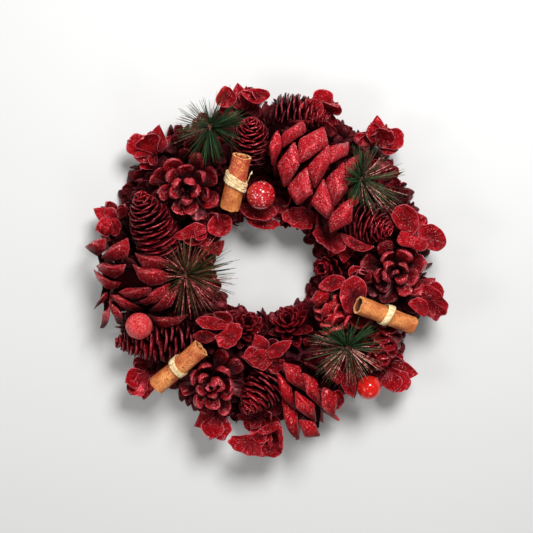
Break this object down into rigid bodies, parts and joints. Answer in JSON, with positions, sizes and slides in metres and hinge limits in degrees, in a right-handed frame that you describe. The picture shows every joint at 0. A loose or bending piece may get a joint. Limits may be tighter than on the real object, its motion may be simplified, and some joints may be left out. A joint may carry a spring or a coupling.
{
  "type": "cinnamon stick wreath",
  "caption": "Round table or door wreath of red-sprayed pine cones, dried petals, pine sprigs and berries, with tied cinnamon sticks, on a flat vine ring.",
  "frame": {"origin": "under the middle of the wreath's footprint, on the surface it lies on", "axes": "+Z away from the flat back, +Y towards the top of the wreath as it would hang, +X to the right seen from the front"},
  "size_m": [0.3292, 0.3334, 0.0846],
  "materials": {
    "vine": "rough bark",
    "cinnamon": "dry bark",
    "raffia": "dry fibre",
    "berry": "red glitter",
    "broad_cone": "red spray and glitter",
    "open_cone": "burgundy spray, lit rims",
    "long_cone": "burgundy spray and glitter",
    "dark_cone": "dark burgundy spray",
    "petals": "burgundy spray, pale rims",
    "green_needles": "needles",
    "frosted_needles": "needles with red glitter"
  },
  "bodies": {
    "root": {"berry_left": "berry", "berry_lower_right": "berry", "berry_upper": "berry", "cinnamon_stick_1": "cinnamon", "cinnamon_stick_2": "cinnamon", "cinnamon_stick_3": "cinnamon", "cone_broad_inner_right": "broad_cone", "cone_broad_left": "broad_cone", "cone_broad_lower_right": "broad_cone", "cone_broad_upper_right": "broad_cone", "cone_dark_inner_bottom_left": "dark_cone", "cone_dark_inner_bottom_right": "dark_cone", "cone_dark_inner_left": "dark_cone", "cone_dark_inner_right": "dark_cone", "cone_dark_inner_top": "dark_cone", "cone_long_bottom": "long_cone", "cone_long_left_lower": "long_cone", "cone_long_left_upper": "long_cone", "cone_long_lower_right": "long_cone", "cone_long_right_upper": "long_cone", "cone_long_top": "long_cone", "cone_long_top_right": "long_cone", "cone_open_lower_left": "open_cone", "cone_open_right": "open_cone", "cone_open_upper_left": "open_cone", "petals_bottom": "petals", "petals_bottom_left": "petals", "petals_bottom_right": "petals", "petals_corner_lower_left": "petals", "petals_corner_lower_right": "petals", "petals_corner_upper_left": "petals", "petals_corner_upper_right": "petals", "petals_inner_bottom": "petals", "petals_inner_left_bottom": "petals", "petals_inner_left_top": "petals", "petals_inner_right": "petals", "petals_inner_right_top": "petals", "petals_inner_top": "petals", "petals_left_top": "petals", "petals_right": "petals", "petals_right_top": "petals", "petals_top": "petals", "petals_top_left": "petals", "ring_base": "vine", "scale_bed_lower_left": "dark_cone", "scale_bed_lower_right": "dark_cone", "scale_bed_upper_left": "dark_cone", "scale_bed_upper_right": "dark_cone", "sprig_left": "frosted_needles", "sprig_lower_right": "green_needles", "sprig_upper_left": "green_needles", "sprig_upper_right": "green_needles", "tie_1": "raffia", "tie_2": "raffia", "tie_3": "raffia"}
  },
  "joints": []
}
